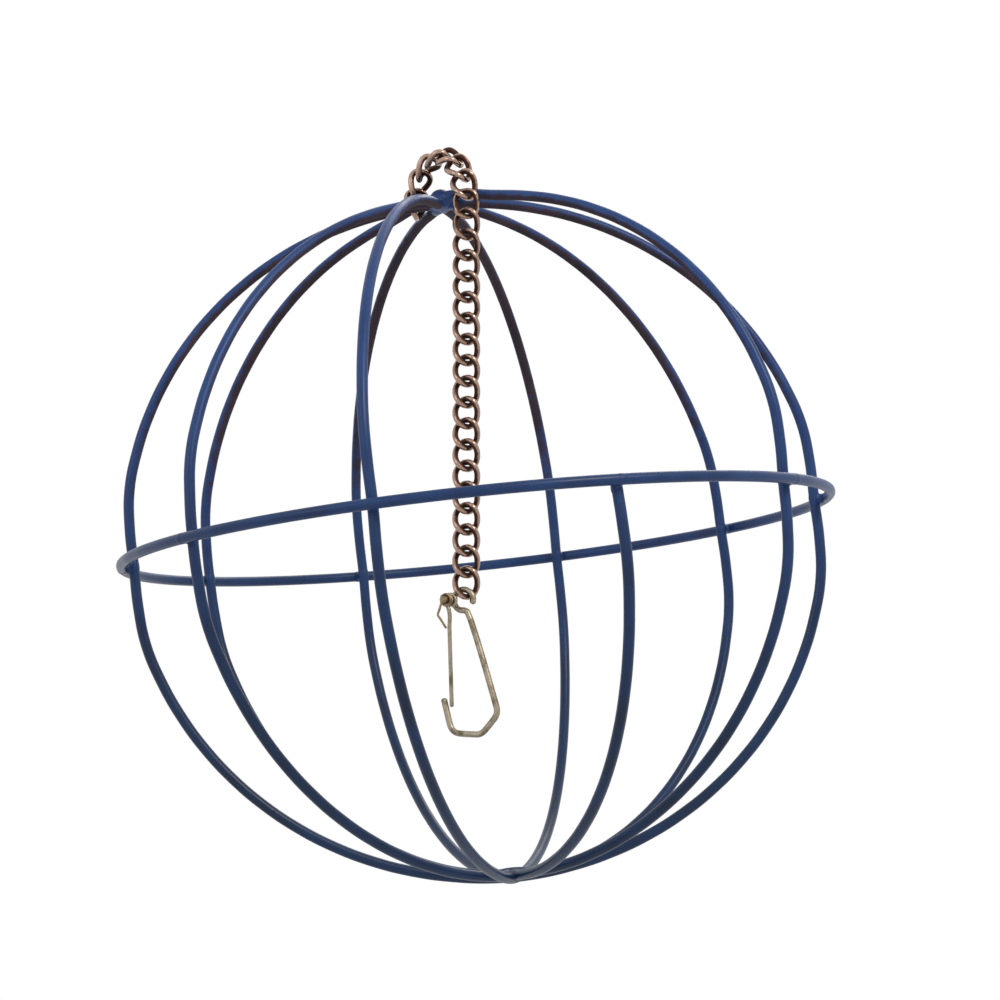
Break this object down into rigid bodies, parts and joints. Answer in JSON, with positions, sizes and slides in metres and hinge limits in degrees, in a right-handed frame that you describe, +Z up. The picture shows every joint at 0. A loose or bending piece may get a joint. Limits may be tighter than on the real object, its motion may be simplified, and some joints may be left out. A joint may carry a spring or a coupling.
{
  "type": "hanging hay ball",
  "caption": "Spherical wire cage for hay with a gap in its ribs for loading, a waist ring, and a curb chain over the crown that ends in a wire snap with a sprung gate.",
  "frame": {"origin": "pole of the crown: the point on the cage's axis at the height of the wire centres, where the ribs meet", "axes": "+Z up and along the plumb chain, -Y out of the side with the loading gap, +X to the right when that gap is faced; the cage leans 6 degrees about Y, its crown towards -X"},
  "size_m": [0.2981, 0.2998, 0.3086],
  "materials": {
    "blue_coating": "semi-gloss blue coating on steel wire",
    "nickel_plate": "bright nickel plate on steel",
    "dull_zinc": "dull, tarnished zinc plate on steel"
  },
  "bodies": {
    "cage": {"rib_01": "blue_coating", "rib_02": "blue_coating", "rib_03": "blue_coating", "rib_04": "blue_coating", "rib_05": "blue_coating", "rib_06": "blue_coating", "rib_07": "blue_coating", "rib_08": "blue_coating", "rib_09": "blue_coating", "rib_10": "blue_coating", "equator_ring": "blue_coating", "crown_boss": "blue_coating", "foot_boss": "blue_coating"},
    "anchor_link": {"anchor_link": "nickel_plate"},
    "arch_link_1": {"arch_link_1": "nickel_plate"},
    "arch_link_2": {"arch_link_2": "nickel_plate"},
    "arch_link_3": {"arch_link_3": "nickel_plate"},
    "arch_link_4": {"arch_link_4": "nickel_plate"},
    "arch_link_5": {"arch_link_5": "nickel_plate"},
    "arch_link_6": {"arch_link_6": "nickel_plate"},
    "loop_link": {"loop_link": "nickel_plate"},
    "chain_link_01": {"chain_link_01": "nickel_plate"},
    "chain_link_02": {"chain_link_02": "nickel_plate"},
    "chain_link_03": {"chain_link_03": "nickel_plate"},
    "chain_link_04": {"chain_link_04": "nickel_plate"},
    "chain_link_05": {"chain_link_05": "nickel_plate"},
    "chain_link_06": {"chain_link_06": "nickel_plate"},
    "chain_link_07": {"chain_link_07": "nickel_plate"},
    "chain_link_08": {"chain_link_08": "nickel_plate"},
    "chain_link_09": {"chain_link_09": "nickel_plate"},
    "chain_link_10": {"chain_link_10": "nickel_plate"},
    "chain_link_11": {"chain_link_11": "nickel_plate"},
    "chain_link_12": {"chain_link_12": "nickel_plate"},
    "chain_link_13": {"chain_link_13": "nickel_plate"},
    "chain_link_14": {"chain_link_14": "nickel_plate"},
    "chain_link_15": {"chain_link_15": "nickel_plate"},
    "chain_link_16": {"chain_link_16": "nickel_plate"},
    "chain_link_17": {"chain_link_17": "nickel_plate"},
    "chain_link_18": {"chain_link_18": "nickel_plate"},
    "snap": {"snap_body": "dull_zinc", "gate_pin": "dull_zinc", "gate_spring": "dull_zinc"},
    "gate": {"snap_gate": "dull_zinc"}
  },
  "joints": [
    {"name": "anchor_link_swing", "type": "hinge", "parent": "cage", "child": "anchor_link", "pos_m": [-0.01069, 0.00707, 0.00063], "axis": [-0.7808, 0.5417, -0.3114], "range_deg": [0, 12]},
    {"name": "arch_link_1_swing", "type": "hinge", "parent": "anchor_link", "child": "arch_link_1", "pos_m": [-0.01069, 0.00707, 0.00763], "axis": [0.9945, -0.1045, 0], "range_deg": [-5, 0]},
    {"name": "arch_link_2_swing", "type": "hinge", "parent": "arch_link_1", "child": "arch_link_2", "pos_m": [-0.00795, 0.00362, 0.01508], "axis": [0.9602, 0.0399, -0.2763], "range_deg": [-5, 0]},
    {"name": "arch_link_3_swing", "type": "hinge", "parent": "arch_link_2", "child": "arch_link_3", "pos_m": [-0.00332, -0.00219, 0.01955], "axis": [0.8542, 0.2634, -0.4482], "range_deg": [-5, 0]},
    {"name": "arch_link_4_swing", "type": "hinge", "parent": "arch_link_3", "child": "arch_link_4", "pos_m": [0.0021, -0.00901, 0.0193], "axis": [0.7102, 0.5227, -0.4716], "range_deg": [-5, 0]},
    {"name": "arch_link_5_swing", "type": "hinge", "parent": "arch_link_4", "child": "arch_link_5", "pos_m": [0.00667, -0.01476, 0.01463], "axis": [0.6121, 0.7115, -0.3451], "range_deg": [-5, 0]},
    {"name": "arch_link_6_swing", "type": "hinge", "parent": "arch_link_5", "child": "arch_link_6", "pos_m": [0.00947, -0.01827, 0.00722], "axis": [0.5967, 0.7831, -0.1754], "range_deg": [-5, 0]},
    {"name": "loop_link_swing", "type": "hinge", "parent": "arch_link_6", "child": "loop_link", "pos_m": [0.01042, -0.01947, 0.00176], "axis": [0.9269, -0.3742, 0.0304], "range_deg": [-3.5, 3.5]},
    {"name": "chain_link_01_swing", "type": "hinge", "parent": "loop_link", "child": "chain_link_01", "pos_m": [0.01066, -0.01977, -0.00923], "axis": [0.9271, 0.3747, 0.0099], "range_deg": [-3.5, 3.5]},
    {"name": "chain_link_02_swing", "type": "hinge", "parent": "chain_link_01", "child": "chain_link_02", "pos_m": [0.01063, -0.01973, -0.01533], "axis": [0.7071, -0.7071, 0], "range_deg": [-3.5, 3.5]},
    {"name": "chain_link_03_swing", "type": "hinge", "parent": "chain_link_02", "child": "chain_link_03", "pos_m": [0.01063, -0.01973, -0.02698], "axis": [0.7071, 0.7071, 0], "range_deg": [-3.5, 3.5]},
    {"name": "chain_link_04_swing", "type": "hinge", "parent": "chain_link_03", "child": "chain_link_04", "pos_m": [0.01063, -0.01973, -0.03293], "axis": [0.7071, -0.7071, 0], "range_deg": [-3.5, 3.5]},
    {"name": "chain_link_05_swing", "type": "hinge", "parent": "chain_link_04", "child": "chain_link_05", "pos_m": [0.01063, -0.01973, -0.04458], "axis": [0.7071, 0.7071, 0], "range_deg": [-3.5, 3.5]},
    {"name": "chain_link_06_swing", "type": "hinge", "parent": "chain_link_05", "child": "chain_link_06", "pos_m": [0.01063, -0.01973, -0.05053], "axis": [0.7071, -0.7071, 0], "range_deg": [-3.5, 3.5]},
    {"name": "chain_link_07_swing", "type": "hinge", "parent": "chain_link_06", "child": "chain_link_07", "pos_m": [0.01063, -0.01973, -0.06218], "axis": [0.7071, 0.7071, 0], "range_deg": [-3.5, 3.5]},
    {"name": "chain_link_08_swing", "type": "hinge", "parent": "chain_link_07", "child": "chain_link_08", "pos_m": [0.01063, -0.01973, -0.06813], "axis": [0.7071, -0.7071, 0], "range_deg": [-3.5, 3.5]},
    {"name": "chain_link_09_swing", "type": "hinge", "parent": "chain_link_08", "child": "chain_link_09", "pos_m": [0.01063, -0.01973, -0.07978], "axis": [0.7071, 0.7071, 0], "range_deg": [-3.5, 3.5]},
    {"name": "chain_link_10_swing", "type": "hinge", "parent": "chain_link_09", "child": "chain_link_10", "pos_m": [0.01063, -0.01973, -0.08573], "axis": [0.7071, -0.7071, 0], "range_deg": [-3.5, 3.5]},
    {"name": "chain_link_11_swing", "type": "hinge", "parent": "chain_link_10", "child": "chain_link_11", "pos_m": [0.01063, -0.01973, -0.09738], "axis": [0.7071, 0.7071, 0], "range_deg": [-3.5, 3.5]},
    {"name": "chain_link_12_swing", "type": "hinge", "parent": "chain_link_11", "child": "chain_link_12", "pos_m": [0.01063, -0.01973, -0.10333], "axis": [0.7071, -0.7071, 0], "range_deg": [-3.5, 3.5]},
    {"name": "chain_link_13_swing", "type": "hinge", "parent": "chain_link_12", "child": "chain_link_13", "pos_m": [0.01063, -0.01973, -0.11498], "axis": [0.7071, 0.7071, 0], "range_deg": [-3.5, 3.5]},
    {"name": "chain_link_14_swing", "type": "hinge", "parent": "chain_link_13", "child": "chain_link_14", "pos_m": [0.01063, -0.01973, -0.12093], "axis": [0.7071, -0.7071, 0], "range_deg": [-3.5, 3.5]},
    {"name": "chain_link_15_swing", "type": "hinge", "parent": "chain_link_14", "child": "chain_link_15", "pos_m": [0.01063, -0.01973, -0.13258], "axis": [0.7071, 0.7071, 0], "range_deg": [-3.5, 3.5]},
    {"name": "chain_link_16_swing", "type": "hinge", "parent": "chain_link_15", "child": "chain_link_16", "pos_m": [0.01063, -0.01973, -0.13853], "axis": [0.7071, -0.7071, 0], "range_deg": [-3.5, 3.5]},
    {"name": "chain_link_17_swing", "type": "hinge", "parent": "chain_link_16", "child": "chain_link_17", "pos_m": [0.01063, -0.01973, -0.15018], "axis": [0.7071, 0.7071, 0], "range_deg": [-3.5, 3.5]},
    {"name": "chain_link_18_swing", "type": "hinge", "parent": "chain_link_17", "child": "chain_link_18", "pos_m": [0.01063, -0.01973, -0.15613], "axis": [0.7071, -0.7071, 0], "range_deg": [-3.5, 3.5]},
    {"name": "snap_swing", "type": "hinge", "parent": "chain_link_18", "child": "snap", "pos_m": [0.01063, -0.01973, -0.16778], "axis": [0.7071, 0.7071, 0], "range_deg": [-12, 12]},
    {"name": "gate_opens", "type": "hinge", "parent": "snap", "child": "gate", "pos_m": [0.00525, -0.01734, -0.16934], "axis": [-0.4067, -0.9135, 0], "range_deg": [0, 16], "stiffness_Nm_per_rad": 0.01, "springref_deg": -17.19}
  ]
}
